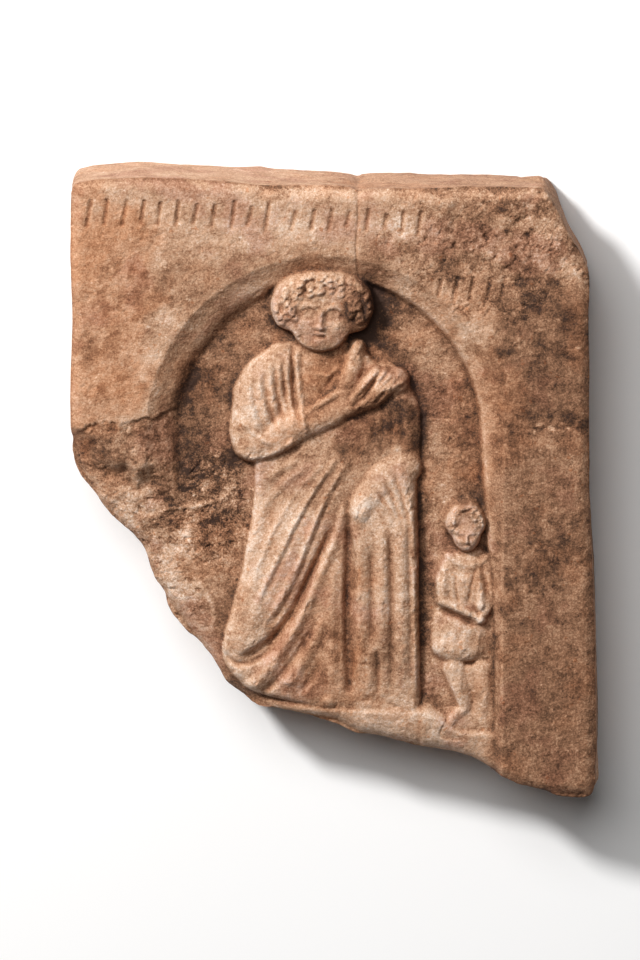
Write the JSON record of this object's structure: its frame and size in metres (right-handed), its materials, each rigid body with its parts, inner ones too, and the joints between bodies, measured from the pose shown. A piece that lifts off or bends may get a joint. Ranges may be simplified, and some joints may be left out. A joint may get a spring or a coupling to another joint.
{
  "type": "carved stone stele",
  "caption": "Broken marble relief slab: a standing man in a long mantle and a small attendant in an arched niche, under shallow strokes.",
  "frame": {"origin": "middle of the bounding box's footprint, on the flat back the slab lies on", "axes": "+Z out of the carved face, +Y to the top of the carving, +X to the right of someone facing it"},
  "size_m": [0.3728, 0.443, 0.0863],
  "materials": {
    "stele": "worn marble with a warm brown patina, dry and matt"
  },
  "bodies": {
    "root": {"stele": "stele"}
  },
  "joints": []
}
